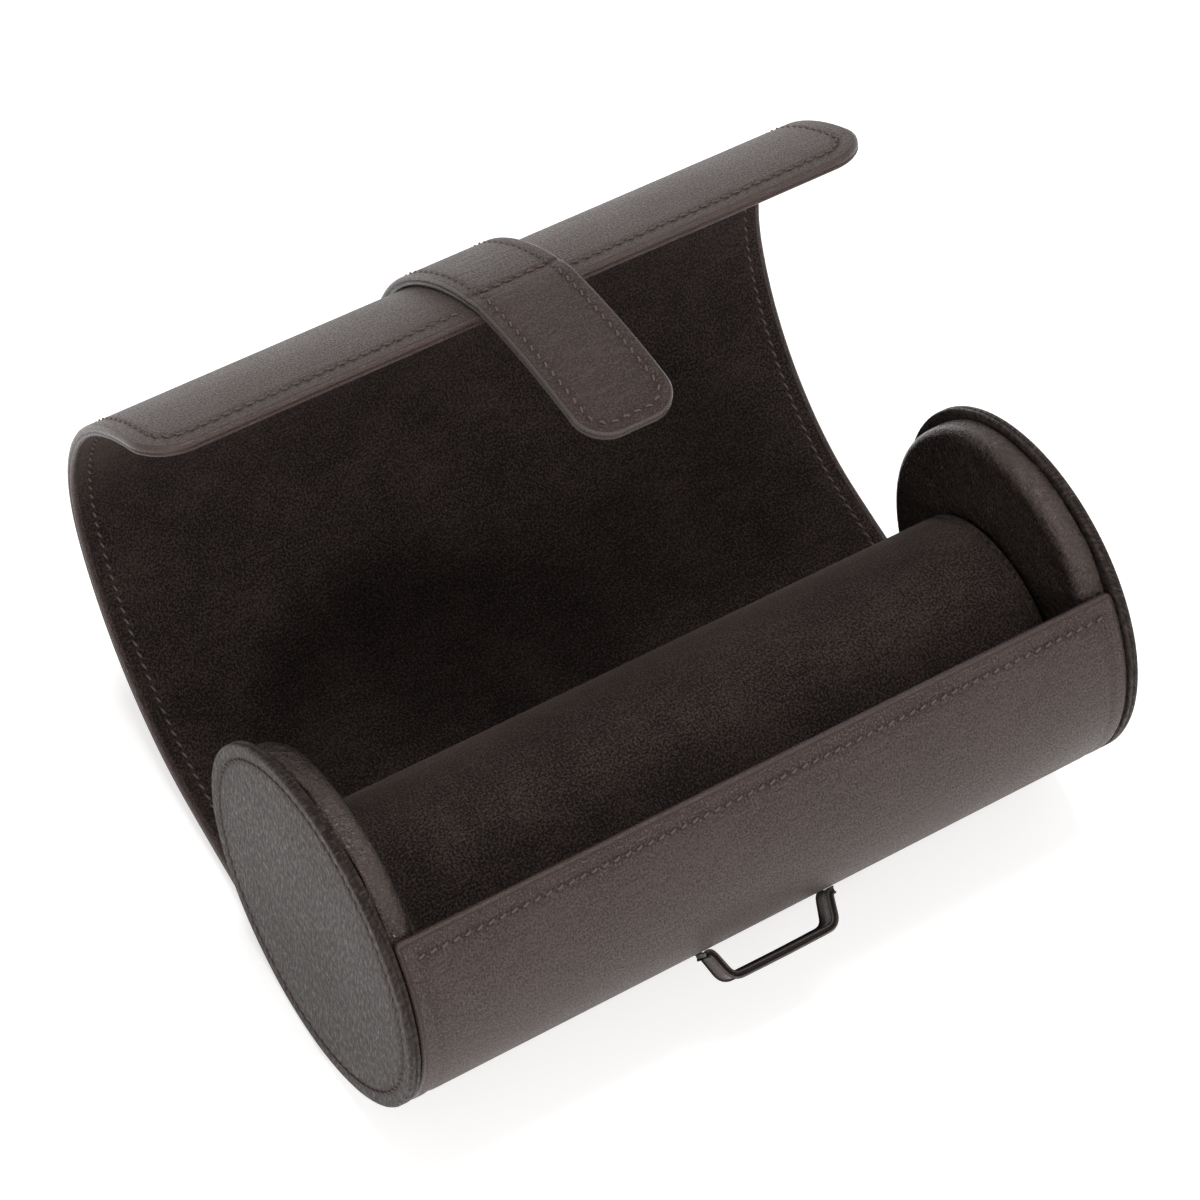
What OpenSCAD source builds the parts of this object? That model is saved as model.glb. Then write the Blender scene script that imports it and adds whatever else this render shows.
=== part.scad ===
// Leather travel roll for two watches, shown open.
// X runs along the case. The front lip faces -Y, the lid folds back towards +Y.
// The case rests on z = 0 on the lowest line of its trough and the first, flat fold of the lid.

/* [Case] */
// Diameter over the end covers
case_d = 86; // [78:1:94]
// Length over the end covers
case_l = 190.6; // [170:0.2:220]
// Direction of the front lip, seen from the case axis and measured from +Y upwards
lip_angle = 130; // [122:1:138]

/* [Leather shell] */
// Thickness of the outer leather
leather_t = 1.2; // [0.8:0.1:1.5]
// Thickness of the stiffening board
board_t = 0.7; // [0.5:0.1:1]
// Thickness of the lid's suede lining
lining_t = 0.7; // [0.5:0.1:1]
// Thickness of the padded suede lining in the trough
pad_t = 2.9; // [2:0.1:3.6]
// Width of the leather that is turned in at the edges
turn_in = 1.3; // [0.8:0.1:2]

/* [End covers] */
// Thickness of an end cover
cover_t = 2.6; // [2:0.1:3.6]
// Thickness of the leather on the end covers and plugs
skin_t = 0.9; // [0.6:0.1:1.2]
// Depth of a padded end plug
plug_depth = 7.4; // [6:0.2:9]
// Radius of the plug's padded edge
plug_round = 3.6; // [2.5:0.1:4.5]

/* [Lid] */
// Angle round the case that the closed lid covers
lid_wrap = 275; // [265:1:280]
// Radius of the lid's front corners
lid_corner_r = 11; // [6:0.5:14]

/* [Strap] */
// Width of the strap
strap_w = 24; // [18:0.5:30]
// Thickness of the strap's face leather
strap_face_t = 1.4; // [1:0.1:1.8]
// Thickness of the strap's backing leather
strap_back_t = 1.2; // [0.8:0.1:1.6]
// Length of the tongue beyond the lid's edge
tongue_l = 45; // [38:0.5:48]
// Radius of the tongue's corners
tongue_corner_r = 8; // [5:0.5:9]

/* [Keeper loop] */
// Direction of the keeper's upper edge, measured like the lip
keeper_angle = 199; // [197:1:204]
// Width of the keeper's leather band
keeper_w = 7; // [5:0.5:8]
// Thickness of the keeper's leather
keeper_t = 1.5; // [1.2:0.1:2]
// Height of the slot between trough and keeper
keeper_h = 7.6; // [7:0.1:8.6]

/* [Cushion] */
// Diameter of the cushion roll
cushion_d = 57.6; // [50:0.2:58]
// Direction in which the cushion leans on the trough, measured like the lip
cushion_angle = 251; // [240:1:258]
// Thickness of the cushion's suede
cushion_skin_t = 1; // [0.6:0.1:1.4]

/* [Hidden] */
$fn = 96;

// Clearances
glue = 0.05;        // between layers that are glued or sewn together
fold_gap = 0.15;    // between two folds of the lid, at each side of a fold line
root_gap = 0.8;     // behind the tongue's root, so that it can bend back
side_gap = 0.4;     // between the lid and the end covers
plug_gap = 0.5;     // between a plug's rim and the shell round it
seat_gap = 0.3;     // between the cushion and what it lies on or against

// Colours
leather = "#443c3a";
suede = "#2a201d";
board = "#9b8c74";
foam = "#b9b2a6";

// Case
case_r = case_d/2;
shell_t = leather_t + board_t + lining_t;
shell_in_r = case_r - shell_t;
inner_l = case_l - 2*cover_t;
shell_w = inner_l - 2*side_gap;
lined_w = shell_w - 2*(turn_in + glue);
base_sweep = 270 - lip_angle;
lip_l = 2.4;        // length of the full leather fold behind the lip's round edge
edge_r = 0.8;       // rounding of the end covers' rims
rim_bulge = 0.1;    // how far the padded lining's upper edge bulges into the trough

// Plugs and cushion
plug_r = shell_in_r - plug_gap;
well_w = inner_l - 2*plug_depth;
pad_in_r = case_r - leather_t - board_t - glue - pad_t;
cushion_r = cushion_d/2;
cushion_l = well_w - 2*seat_gap;
cushion_cap_t = 1.2;
cushion_seat_r = pad_in_r - seat_gap - cushion_r;

// Lid: nine folds in a row from the lowest line of the trough to the free edge.
// Each has its share of the lid's length and the bend that it has when the lid lies open.
lid_l = lid_wrap*PI/180*case_r;
fold_share = [18, 18, 20, 20, 22, 24, 26, 28, 30];
fold_bend = [4, 1.5, 2.5, 19, 16.5, 17, 36, 33, 25];
share_sum = fold_share*[for (s = fold_share) 1];
fold_l = [for (s = fold_share) s*lid_l/share_sum];
lid_start = [0, shell_t, 0];
last_fold = len(fold_share);

// Strap: it lies on the lid's outer face, and the tongue goes on beyond it
strap_t = strap_face_t + strap_back_t;
tongue_kink = 10;   // bend at the stitched line where the tongue leaves the lid
tongue_bend = 15;   // bend of the whole tongue beyond that line
tongue_share = 2/3; // share of the tongue in front of its own fold line
tongue_root_l = tongue_l*tongue_share;
tongue_tip_l = tongue_l - tongue_root_l;
tongue_root_bend = tongue_bend*tongue_share;
tongue_tip_bend = tongue_bend - tongue_root_bend;

// Keeper
strap_room = 1;     // beside the strap in the keeper, at each side
keeper_slant = 2;   // how far each side of the keeper leans out on its way down
keeper_foot = 2.2;  // width of a sewn foot beyond the side's lower end

// --- Places along a sheet ---------------------------------------------------
// A place is [y, z, heading]. A sheet runs along its heading and bends to the left.

function bend_r(l, b) = l/(b*PI/180);

function bend_centre(p, r) = [p[0] - r*sin(p[2]), p[1] + r*cos(p[2])];

function after(p, l, b) =
    let (r = bend_r(l, b), c = bend_centre(p, r))
    [c[0] + r*sin(p[2] + b), c[1] - r*cos(p[2] + b), p[2] + b];

// A place moved to the right, which is the sheet's outer side, and turned
function beside(p, d, kink = 0) = [p[0] + d*sin(p[2]), p[1] - d*cos(p[2]), p[2] + kink];

// Start of a fold of the lid, counted from 1
function fold_place(i) =
    i == 1 ? lid_start : after(fold_place(i - 1), fold_l[i - 2], fold_bend[i - 2]);

function round_place(r, a) = [r*cos(a), case_r + r*sin(a), a + 90];

lid_end = fold_place(last_fold + 1);
tongue_start = beside(lid_end, shell_t, tongue_kink);
tongue_fold = after(tongue_start, tongue_root_l, tongue_root_bend);
tongue_end = after(tongue_fold, tongue_tip_l, tongue_tip_bend);

// --- Building blocks --------------------------------------------------------

// Turns the children's radius and height into the case's YZ plane and X
module across() {
    rotate([90, 0, 90]) children();
}

// Sweeps a section along a bent stretch of sheet. The section's first axis is the distance
// from the sheet's inner face, its second axis is X. Each end is cut back by a gap.
module along(p, l, b, cut_start = 0, cut_end = 0) {
    r = bend_r(l, b);
    c = bend_centre(p, r);
    from = cut_start/l*b;
    to = b - cut_end/l*b;
    translate([0, c[0], c[1]])
        rotate([p[2] - 90 + from, 0, 0])
            across()
                rotate_extrude(angle = to - from)
                    translate([r, 0])
                        children();
}

// A flat layer's section between two distances from the inner face
module layer(from, to, w) {
    translate([from, -w/2])
        square([to - from, w]);
}

// The leather's section: a full-width face with both edges turned in
module turned_layer() {
    layer(lining_t + board_t, shell_t, shell_w);
    for (side = [-1, 1])
        translate([0, side > 0 ? shell_w/2 - turn_in : -shell_w/2])
            square([shell_t, turn_in]);
}

// A strip's outline with round corners at its end, as a prism square to the sheet there.
// It reaches past the sheet's bent rear part on both sides.
module end_outline(p, w, r, back) {
    translate([0, p[0], p[1]])
        rotate([p[2], 0, 0])
            linear_extrude(height = 2*back, center = true) {
                translate([-w/2, -back]) square([w, back - r]);
                translate([r - w/2, -back]) square([w - 2*r, back]);
                for (side = [-1, 1])
                    translate([side*(w/2 - r), -r]) circle(r);
            }
}

// Sweeps a section along one fold of the lid, cut back at both fold lines
module along_fold(fold, end_cut = fold_gap) {
    along(fold_place(fold), fold_l[fold - 1], fold_bend[fold - 1], fold_gap, end_cut)
        children();
}

module to_left() {
    mirror([1, 0, 0]) children();
}

// Turns a profile of radius and depth about the case axis, depth running inwards from x
module round_part(x) {
    translate([x, 0, case_r])
        rotate([0, -90, 0])
            rotate_extrude()
                children();
}

// --- Trough -----------------------------------------------------------------

module along_base(cut_start, cut_end = fold_gap) {
    along(round_place(shell_in_r, lip_angle), shell_in_r*base_sweep*PI/180, base_sweep,
          cut_start, cut_end)
        children();
}

// Outer leather of the trough, folded round the front lip
module base_leather() {
    lip = round_place(shell_in_r + shell_t/2, lip_angle);
    color(leather) {
        along_base(0) turned_layer();
        along_base(0, shell_in_r*base_sweep*PI/180 - lip_l) layer(0, shell_t, shell_w);
        translate([0, lip[0], lip[1]])
            across() cylinder(d = shell_t, h = shell_w, center = true);
    }
}

module base_board() {
    color(board)
        along_base(lip_l + glue) layer(lining_t + glue, lining_t + board_t - glue, lined_w);
}

// Padded suede that lines the trough between the plugs, with a round upper edge that bulges
module base_lining() {
    rim_r = pad_t/2 + rim_bulge/2;
    start = lip_l + rim_r + glue;
    rim = after(round_place(shell_in_r, lip_angle), start, start/shell_in_r*180/PI);
    mid = beside(rim, lining_t - pad_t/2 - rim_bulge);
    w = well_w - 2*seat_gap;
    color(suede) {
        along_base(start, pad_t) layer(lining_t - pad_t, lining_t, w);
        translate([0, mid[0], mid[1]])
            across() cylinder(r = rim_r, h = w, center = true);
    }
}

// Leather loop on the trough's front that holds the tongue, with a slanted side and a sewn
// foot at each end
module keeper_loop() {
    sweep = keeper_w/case_r*180/PI;
    corner = strap_w/2 + strap_room + keeper_t/2;
    heel = corner + keeper_slant;
    color("#26211f")
        along(round_place(case_r, keeper_angle), keeper_w, sweep) {
            layer(keeper_h, keeper_h + keeper_t, 2*corner);
            for (side = [-1, 1])
                scale([1, side]) {
                    hull() {
                        translate([keeper_h + keeper_t/2, corner]) circle(d = keeper_t);
                        translate([glue + keeper_t/2, heel]) circle(d = keeper_t);
                    }
                    translate([glue, heel]) square([keeper_t, keeper_foot]);
                }
        }
}

// --- End covers and plugs ---------------------------------------------------

// Section of a disc with its first edge rounded: a radius, a depth and an edge radius
module rim_section(r, depth, edge) {
    square([r - edge, depth]);
    translate([0, edge]) square([r, depth - edge]);
    translate([r - edge, edge]) circle(edge);
}

// Leather face of an end, turned in over the board's edge
module end_cover_right() {
    color(leather)
        round_part(case_l/2)
            difference() {
                rim_section(case_r, cover_t, edge_r);
                translate([-1, skin_t]) square([case_r - skin_t + 1, cover_t]);
            }
}

module end_cover_left() {
    to_left() end_cover_right();
}

module end_board_right() {
    color(board)
        round_part(case_l/2 - skin_t - glue)
            square([case_r - skin_t - glue, cover_t - skin_t - glue]);
}

module end_board_left() {
    to_left() end_board_right();
}

// Padded plug: its leather is a cup over a soft core, open towards the end cover
module plug_section(inset) {
    depth = plug_depth - inset;
    edge = plug_round - inset;
    r = plug_r - inset;
    translate([0, depth]) scale([1, -1]) rim_section(r, depth, edge);
}

module plug_cover_right() {
    color(leather)
        round_part(inner_l/2)
            difference() {
                plug_section(0);
                translate([0, -1]) square([plug_r - skin_t, 1 + glue]);
                plug_section(skin_t);
            }
}

module plug_cover_left() {
    to_left() plug_cover_right();
}

module plug_core_right() {
    color(foam)
        round_part(inner_l/2) plug_section(skin_t + glue);
}

module plug_core_left() {
    to_left() plug_core_right();
}

// --- Cushion ----------------------------------------------------------------

module in_cushion() {
    at = round_place(cushion_seat_r, cushion_angle);
    translate([0, at[0], at[1]])
        across() children();
}

module cushion_foam() {
    color(foam)
        in_cushion()
            cylinder(r = cushion_r - cushion_skin_t - glue, h = cushion_l - 2*cushion_cap_t,
                     center = true);
}

module cushion_cover() {
    color(suede)
        in_cushion()
            difference() {
                cylinder(r = cushion_r, h = cushion_l - 2*cushion_cap_t, center = true);
                cylinder(r = cushion_r - cushion_skin_t, h = cushion_l, center = true);
            }
}

module cushion_cap_right() {
    color(suede)
        in_cushion()
            translate([0, 0, cushion_l/2 - cushion_cap_t])
                cylinder(r = cushion_r, h = cushion_cap_t);
}

module cushion_cap_left() {
    to_left() cushion_cap_right();
}

// --- Lid --------------------------------------------------------------------

// Leather of one fold. At the free edge it is turned in all round, corners included.
module lid_leather(fold) {
    color(leather)
        if (fold < last_fold)
            along_fold(fold) turned_layer();
        else
            difference() {
                intersection() {
                    along_fold(fold, 0) layer(0, shell_t, shell_w);
                    end_outline(lid_end, shell_w, lid_corner_r, 2*fold_l[last_fold - 1]);
                }
                lid_filling(fold, -1, lining_t + board_t, turn_in);
            }
}

// Space inside the turned edge between two distances from the inner face
module lid_filling(fold, from, to, inset) {
    w = shell_w - 2*inset;
    if (fold < last_fold)
        along_fold(fold) layer(from, to, w);
    else
        intersection() {
            along_fold(fold, inset) layer(from, to, w);
            translate([0, -inset*cos(lid_end[2]), -inset*sin(lid_end[2])])
                end_outline(lid_end, w, lid_corner_r - inset, 2*fold_l[last_fold - 1]);
        }
}

module lid_board(fold) {
    color(board) lid_filling(fold, lining_t + glue, lining_t + board_t - glue, turn_in + glue);
}

module lid_lining(fold) {
    color(suede) lid_filling(fold, 0, lining_t, turn_in + glue);
}

// --- Strap ------------------------------------------------------------------

strap_from = shell_t + glue;

module strap_back(fold) {
    color(leather)
        along_fold(fold) layer(strap_from, strap_from + strap_back_t, strap_w);
}

module strap_face(fold) {
    color(leather)
        along_fold(fold)
            layer(strap_from + strap_back_t + glue, strap_from + strap_t, strap_w);
}

module tongue_root(from, to) {
    color(leather)
        along(tongue_start, tongue_root_l, tongue_root_bend, root_gap, fold_gap)
            layer(from, to, strap_w);
}

module tongue_tip(from, to) {
    color(leather)
        intersection() {
            along(tongue_fold, tongue_tip_l, tongue_tip_bend, fold_gap)
                layer(from, to, 2*strap_w);
            end_outline(tongue_end, strap_w, tongue_corner_r, 2*tongue_tip_l);
        }
}

module tongue_back_root() { tongue_root(glue, strap_back_t); }
module tongue_face_root() { tongue_root(strap_back_t + glue, strap_t); }
module tongue_back_tip() { tongue_tip(glue, strap_back_t); }
module tongue_face_tip() { tongue_tip(strap_back_t + glue, strap_t); }

// --- Drawing ----------------------------------------------------------------

base_leather();
base_board();
base_lining();
keeper_loop();
end_cover_left();
end_board_left();
plug_cover_left();
plug_core_left();
end_cover_right();
end_board_right();
plug_cover_right();
plug_core_right();
cushion_foam();
cushion_cover();
cushion_cap_left();
cushion_cap_right();
lid_leather(1);  // lid_leather_1
lid_leather(2);  // lid_leather_2
lid_leather(3);  // lid_leather_3
lid_leather(4);  // lid_leather_4
lid_leather(5);  // lid_leather_5
lid_leather(6);  // lid_leather_6
lid_leather(7);  // lid_leather_7
lid_leather(8);  // lid_leather_8
lid_leather(9);  // lid_leather_9
lid_board(1);  // lid_board_1
lid_board(2);  // lid_board_2
lid_board(3);  // lid_board_3
lid_board(4);  // lid_board_4
lid_board(5);  // lid_board_5
lid_board(6);  // lid_board_6
lid_board(7);  // lid_board_7
lid_board(8);  // lid_board_8
lid_board(9);  // lid_board_9
lid_lining(1);  // lid_lining_1
lid_lining(2);  // lid_lining_2
lid_lining(3);  // lid_lining_3
lid_lining(4);  // lid_lining_4
lid_lining(5);  // lid_lining_5
lid_lining(6);  // lid_lining_6
lid_lining(7);  // lid_lining_7
lid_lining(8);  // lid_lining_8
lid_lining(9);  // lid_lining_9
strap_back(4);  // strap_back_4
strap_back(5);  // strap_back_5
strap_back(6);  // strap_back_6
strap_back(7);  // strap_back_7
strap_back(8);  // strap_back_8
strap_back(9);  // strap_back_9
strap_face(4);  // strap_face_4
strap_face(5);  // strap_face_5
strap_face(6);  // strap_face_6
strap_face(7);  // strap_face_7
strap_face(8);  // strap_face_8
strap_face(9);  // strap_face_9
tongue_back_root();
tongue_back_tip();
tongue_face_root();
tongue_face_tip();
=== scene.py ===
import math

import bmesh
import bpy
import numpy as np
from mathutils import Matrix, Vector
from mathutils.bvhtree import BVHTree


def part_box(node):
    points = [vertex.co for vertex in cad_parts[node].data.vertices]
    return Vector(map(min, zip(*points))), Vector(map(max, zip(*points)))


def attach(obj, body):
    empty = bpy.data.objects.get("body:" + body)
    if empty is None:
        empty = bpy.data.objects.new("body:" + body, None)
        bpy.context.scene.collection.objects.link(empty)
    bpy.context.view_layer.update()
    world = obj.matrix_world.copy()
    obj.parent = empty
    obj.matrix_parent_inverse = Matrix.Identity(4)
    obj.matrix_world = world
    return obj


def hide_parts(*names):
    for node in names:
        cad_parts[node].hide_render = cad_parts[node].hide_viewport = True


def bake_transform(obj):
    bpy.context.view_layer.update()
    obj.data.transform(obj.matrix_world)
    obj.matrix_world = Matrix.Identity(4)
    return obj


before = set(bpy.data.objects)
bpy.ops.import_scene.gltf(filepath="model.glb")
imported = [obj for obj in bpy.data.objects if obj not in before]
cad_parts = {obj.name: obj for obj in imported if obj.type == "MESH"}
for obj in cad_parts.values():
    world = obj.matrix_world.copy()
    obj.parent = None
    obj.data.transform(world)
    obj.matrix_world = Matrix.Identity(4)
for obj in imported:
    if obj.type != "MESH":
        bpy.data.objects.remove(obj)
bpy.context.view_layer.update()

# ---------------------------------------------------------------------------
# Trough. A sheet of dark grained leather over thin board, rolled into a long
# trough. It is folded over at the front lip and sewn with one line of stitches
# a few millimetres below it.
# ---------------------------------------------------------------------------

case_r = 43.0
shell_t = 2.6
inner_r = case_r - shell_t
shell_half_w = 92.3
lowest_angle, lip_angle = 270.0, 130.0
trough_l = math.radians(lowest_angle - lip_angle) * inner_r
sheet_l = trough_l + 4.0

lid_angle = 275.0
lid_l = math.radians(lid_angle) * case_r
fold_share = np.array([18, 18, 20, 20, 22, 24, 26, 28, 30], float)
fold_bend = np.radians([4, 1.5, 2.5, 19, 16.5, 17, 36, 33, 25])
fold_l = fold_share * lid_l / fold_share.sum()
fold_start = np.concatenate([[0], np.cumsum(fold_l)])


def bent_on(place, length, bend):
    """The place after a stretch of sheet that bends evenly. A place is (y, z, heading)."""
    y, z, heading = place
    r = length / bend
    return (y + r * (math.sin(heading + bend) - math.sin(heading)),
            z - r * (math.cos(heading + bend) - math.cos(heading)), heading + bend)


fold_place = [(0.0, shell_t, 0.0)]
for length, bend in zip(fold_l, fold_bend):
    fold_place.append(bent_on(fold_place[-1], length, bend))

sheet_place = np.array([bent_on(fold_place[0], -sheet_l, -sheet_l / inner_r)] + fold_place[:-1])
sheet_start = np.concatenate([[-sheet_l], fold_start[:-1]])
sheet_bend = np.concatenate([[1 / inner_r], fold_bend / fold_l])


def shell(x, s, d):
    """A point of the leather sheet: x along the case, s along the sheet from the trough's lowest
    line towards the lid's free edge, d outwards from the sheet's inner face."""
    x, s, d = (np.asarray(v, float) for v in np.broadcast_arrays(x, s, d))
    k = np.clip(np.searchsorted(sheet_start, s, side="right") - 1, 0, len(sheet_start) - 1)
    y, z, heading = np.moveaxis(sheet_place[k], -1, 0)
    here = heading + sheet_bend[k] * (s - sheet_start[k])
    y = y + (np.sin(here) - np.sin(heading)) / sheet_bend[k]
    z = z - (np.cos(here) - np.cos(heading)) / sheet_bend[k]
    return np.stack([x, y + d * np.sin(here), z - d * np.cos(here)], -1)


def sheet_faces(rows, columns, first=0):
    """Faces between open rows of points, numbered from first."""
    return [(first + i * columns + j, first + i * columns + j + 1,
             first + (i + 1) * columns + j + 1, first + (i + 1) * columns + j)
            for i in range(rows - 1) for j in range(columns - 1)]


def piece(name, points, faces, uv, finish, rim=None):
    """A smooth mesh object from points in millimetres, with a flat map of its surface in
    millimetres. rim is 1 on the cut or painted edges and 0 on the faces."""
    mesh = bpy.data.meshes.new(name)
    mesh.from_pydata([tuple(p) for p in np.asarray(points) / 1000], [], [tuple(f) for f in faces])
    layer = mesh.uv_layers.new(name="surface")
    corner = np.zeros(len(mesh.loops), np.int32)
    mesh.loops.foreach_get("vertex_index", corner)
    layer.data.foreach_set("uv", np.asarray(uv, np.float32)[corner].ravel())
    if rim is not None:
        values = mesh.attributes.new("rim", "FLOAT", "POINT").data
        values.foreach_set("value", np.asarray(rim, np.float32))
    weld = 2e-6
    b = bmesh.new()
    b.from_mesh(mesh)
    bmesh.ops.remove_doubles(b, verts=b.verts, dist=weld)
    bmesh.ops.recalc_face_normals(b, faces=b.faces)
    b.to_mesh(mesh)
    b.free()
    mesh.shade_smooth()
    o = bpy.data.objects.new(name, mesh)
    bpy.context.scene.collection.objects.link(o)
    mesh.materials.append(finish)
    return o


quarter = np.radians([0, 22, 45, 68, 90])
notch_half_w, notch_depth = 0.3, 0.4


def edge_profile(top, bottom, top_round, bottom_round, notch=None):
    """Levels round a sheet's edge from its top face to its bottom face, as (inset, distance).
    Where two layers meet, a small notch runs along the edge."""
    levels = [(top_round * (1 - math.sin(a)), top - top_round * (1 - math.cos(a)))
              for a in quarter]
    if notch:
        levels += [(0, notch + notch_half_w), (notch_depth, notch), (0, notch - notch_half_w)]
    levels += [(bottom_round * (1 - math.sin(a)), bottom + bottom_round * (1 - math.cos(a)))
               for a in quarter[::-1]]
    return levels


def groove(distance, inset, depth, width=0.9):
    """How far a seam at inset pulls the surface in, at a distance from the edge."""
    return depth * np.exp(-((distance - inset) / width) ** 2)


least_row = 0.2


def plate(name, place, s, half_w, levels, columns, finish, corner=0.0, end=None, seam=None):
    """A stretch of sheet with finished side edges. With a corner radius it also has a finished
    end. A seam, as (inset, depth), draws both faces in along the edges."""
    straight = np.asarray(s, float)
    turn = np.array([])
    if corner:
        before = straight[straight < end - corner - least_row]
        straight = np.concatenate([before, [end - corner]])
        turn = np.radians(np.linspace(0, 90, 13)[1:])

    def outline(inset):
        w = np.full(len(straight), half_w - inset)
        if not corner:
            return w, straight
        return (np.concatenate([w, half_w - corner + (corner - inset) * np.cos(turn)]),
                np.concatenate([straight, end - corner + (corner - inset) * np.sin(turn)]))

    share = np.concatenate([-columns[::-1], columns[1:]])
    rows = len(straight) + len(turn)
    points, faces, uv, rim = [], [], [], []
    on_edge = np.array([0.0, *[1.0] * (len(levels) - 2), 0.0])

    def add(x, s, d, edge, lift=0.0, lift_s=0.0):
        base = sum(len(p) for p in points)
        points.append(place(x, s, d).reshape(-1, 3))
        rim.append(np.broadcast_to(edge, x.shape).ravel())
        flat = np.stack([x + np.sign(x) * lift, s + lift_s], -1)
        uv.append(flat.reshape(-1, 2))
        faces.extend(sheet_faces(*x.shape, base))

    for inward, (inset, d) in ((-1, levels[0]), (1, levels[-1])):
        w, along = outline(inset)
        x = w[:, None] * share[None, :]
        ss = np.broadcast_to(along[:, None], x.shape)
        dd = np.full(x.shape, d)
        if seam:
            distance = half_w - np.abs(x)
            if corner:
                ex, es = np.abs(x) - (half_w - corner), ss - (end - corner)
                rounded = corner - np.hypot(np.maximum(ex, 0), np.maximum(es, 0))
                distance = np.where((ex > 0) & (es > 0), rounded, np.minimum(distance, end - ss))
            dd = dd + inward * groove(distance, *seam)
        add(x, ss, dd, 0.0)
    lift = np.cumsum([0] + [math.dist(a, b) for a, b in zip(levels, levels[1:])])
    for side in (-1, 1):
        w, along = np.moveaxis([outline(inset) for inset, _ in levels], 0, -1)
        dd = np.tile([d for _, d in levels], (rows, 1))
        add(side * w, along, dd, on_edge, lift)
    if corner:
        x = np.tile((half_w - corner) * share, (len(levels), 1))
        ss, dd = (np.tile(v, (len(share), 1)).T for v in
                  ([end - inset for inset, _ in levels], [d for _, d in levels]))
        add(x, ss, dd, on_edge[:, None], lift_s=lift[:, None])
    return piece(name, np.concatenate(points), faces, np.concatenate(uv), finish,
                 np.concatenate(rim))


class Tone:
    """A value that varies over a surface. Sums and products of tones add their Math nodes."""

    def __init__(self, finish, socket):
        self.finish, self.socket = finish, socket

    def _with(self, operation, a, b):
        return self.finish.node("ShaderNodeMath", {"operation": operation}, {0: a, 1: b})

    def __add__(self, other): return self._with("ADD", self, other)
    def __radd__(self, other): return self._with("ADD", other, self)
    def __sub__(self, other): return self._with("SUBTRACT", self, other)
    def __rsub__(self, other): return self._with("SUBTRACT", other, self)
    def __mul__(self, other): return self._with("MULTIPLY", self, other)
    def __rmul__(self, other): return self._with("MULTIPLY", other, self)


class Finish:
    """A material with one Principled shader. Its maps are in millimetres."""

    def __init__(self, name, **plain):
        self.material = bpy.data.materials.new(name)
        self.material.use_nodes = True
        self.tree = self.material.node_tree
        self.shader = self.tree.nodes["Principled BSDF"]
        for socket, value in plain.items():
            self.shader.inputs[socket.replace("_", " ")].default_value = value

    def node(self, kind, settings, sockets, out=0):
        n = self.tree.nodes.new(kind)
        for key, value in settings.items():
            setattr(n, key, value)
        for key, value in sockets.items():
            if isinstance(value, Tone):
                self.tree.links.new(value.socket, n.inputs[key])
            else:
                n.inputs[key].default_value = value
        return Tone(self, n.outputs[out])

    def surface(self, stretch=(1, 1, 1)):
        uv = self.node("ShaderNodeUVMap", {"uv_map": "surface"}, {})
        return self.node("ShaderNodeMapping", {}, {"Vector": uv, "Scale": stretch})

    def noise(self, where, scale, detail=2.0, rough=0.5):
        return self.node("ShaderNodeTexNoise", {"noise_dimensions": "2D"},
                         {"Vector": where, "Scale": scale, "Detail": detail, "Roughness": rough})

    def between(self, value, low, high):
        """0 up to low, 1 from high on, and a smooth step between them."""
        return self.node("ShaderNodeMapRange", {"interpolation_type": "SMOOTHSTEP"},
                         {"Value": value, "From Min": low, "From Max": high})

    def blend(self, share, a, b):
        return self.node("ShaderNodeMix", {"data_type": "RGBA"}, {0: share, 6: a, 7: b}, out=2)

    def finished(self, colour, roughness, height):
        """Height is in millimetres."""
        normal = self.node("ShaderNodeBump", {},
                           {"Height": height, "Distance": 0.001, "Strength": 1.0})
        for socket, tone in (("Base Color", colour), ("Roughness", roughness),
                             ("Normal", normal)):
            self.tree.links.new(tone.socket, self.shader.inputs[socket])
        return self.material


warm_shine = (1, 0.80, 0.73, 1)
pebble_scale, pore_scale, fold_scale, cloud_scale = 1.5, 1.9, 0.7, 0.04
fold_stretch = (0.24, 0.8, 1)


def leather(name, dark, pale, grain=0.17, wrinkle=0.12, stretch=(1, 1, 1), rough=0.36,
            gloss=0.42, edge=None):
    """Fine grained leather: uneven pebbles under a millimetre wide, with long soft wrinkles. grain
    and wrinkle are their heights. The colour follows the relief: painted shade darkens the creases
    between the pebbles and the low spots of the grain, painted light makes the wrinkles' ridges
    paler, and a broad random mottle lies over all. Where an edge colour is given, the piece's rim
    is painted with it."""
    f = Finish(name, Specular_IOR_Level=gloss, Specular_Tint=warm_shine)
    flat = f.surface()
    skin = f.surface(stretch)
    creases = f.node("ShaderNodeTexVoronoi",
                     {"voronoi_dimensions": "2D", "feature": "DISTANCE_TO_EDGE"},
                     {"Vector": skin, "Scale": pebble_scale})
    pebbles = f.between(creases, 0.0, 0.34)
    pores = f.between(f.noise(skin, pore_scale, 4.0, 0.75), 0.38, 0.63)
    folds = f.noise(f.surface(fold_stretch), fold_scale, 5.0, 0.68)
    ridges = f.between(folds, 0.42, 0.6)
    cloud = f.noise(flat, cloud_scale, 4.0, 0.6)
    height = grain * (0.45 * pebbles + pores) + wrinkle * ridges + 0.5 * cloud
    # Painted shade and light: the tone darkens in the creases and low grain and pales on the
    # wrinkles' ridges, and cloud adds a random mottle.
    relief_shade_and_mottle = 0.22 * pebbles + 0.6 * pores + 0.36 * (cloud - 0.4) + 0.5 * wrinkle * ridges
    tone = f.blend(f.between(relief_shade_and_mottle, 0.02, 0.8), (*dark, 1), (*pale, 1))
    shine = rough + 0.14 * (1.0 - pores) + 0.2 * (cloud - 0.5)
    if edge:
        rim = f.node("ShaderNodeAttribute", {"attribute_name": "rim"}, {}, out=2)
        tone = f.blend(rim, tone, (*edge, 1))
        shine = shine - 0.2 * rim
        height = height * (1.0 - 0.85 * rim)
    return f.finished(tone, shine, height)


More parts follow.
